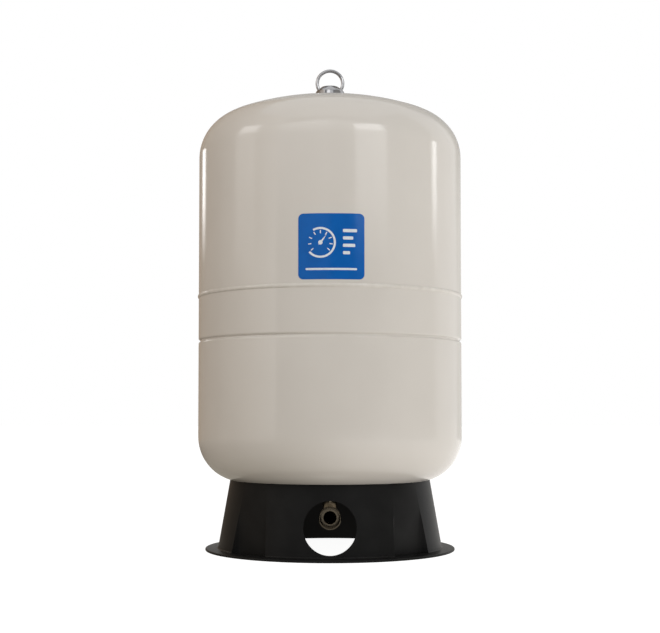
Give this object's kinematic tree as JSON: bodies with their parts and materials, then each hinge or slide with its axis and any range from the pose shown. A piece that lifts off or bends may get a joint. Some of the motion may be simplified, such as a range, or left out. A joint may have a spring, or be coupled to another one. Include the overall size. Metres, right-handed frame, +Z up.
{
  "type": "well pressure tank",
  "caption": "Upright steel well pressure tank with a girth weld, a rolled groove, a ringed top cap over its air valve, a front label and a moulded stand round a threaded water socket.",
  "frame": {"origin": "on the tank's axis at floor level, the centre of the underside of the stand", "axes": "+Z up along the tank's axis; -Y is the front, where the label, the stand's round hole and the water socket face; +X is to the right seen from the front"},
  "size_m": [0.4532, 0.4532, 0.8284],
  "materials": {
    "enamel": "glossy",
    "ring_steel": "satin",
    "liner_plastic": "satin",
    "black_rubber": "matte",
    "stand_plastic": "fine matte grain",
    "stainless": "bright",
    "brass": "turned",
    "cap_chrome": "polished",
    "label_vinyl": "glossy film"
  },
  "bodies": {
    "tank": {"upper_shell": "enamel", "lower_shell": "enamel", "girth_weld": "enamel", "clench_ring": "ring_steel", "water_liner": "liner_plastic", "diaphragm": "black_rubber", "stand": "stand_plastic", "water_elbow": "stainless", "threaded_socket": "stainless", "inlet_weld": "stainless", "inlet_gasket": "black_rubber", "inlet_washer": "stainless", "inlet_nut": "stainless", "valve_boss": "ring_steel", "valve_stem": "brass", "core_barrel": "brass", "core_seal": "black_rubber", "core_spring": "stainless", "label": "label_vinyl"},
    "cap": {"ring_cap": "cap_chrome", "lifting_ring": "cap_chrome"},
    "valve_pin": {"core_pin": "brass", "pin_seal": "black_rubber"}
  },
  "joints": [
    {"name": "cap_lift", "type": "slide", "parent": "tank", "child": "cap", "axis": [0, 0, 1], "range_m": [0, 0.03]},
    {"name": "valve_pin_press", "type": "slide", "parent": "tank", "child": "valve_pin", "axis": [0, 0, -1], "range_m": [0, 0.0015], "stiffness_N_per_m": 1000, "deforming": ["core_spring"]}
  ]
}
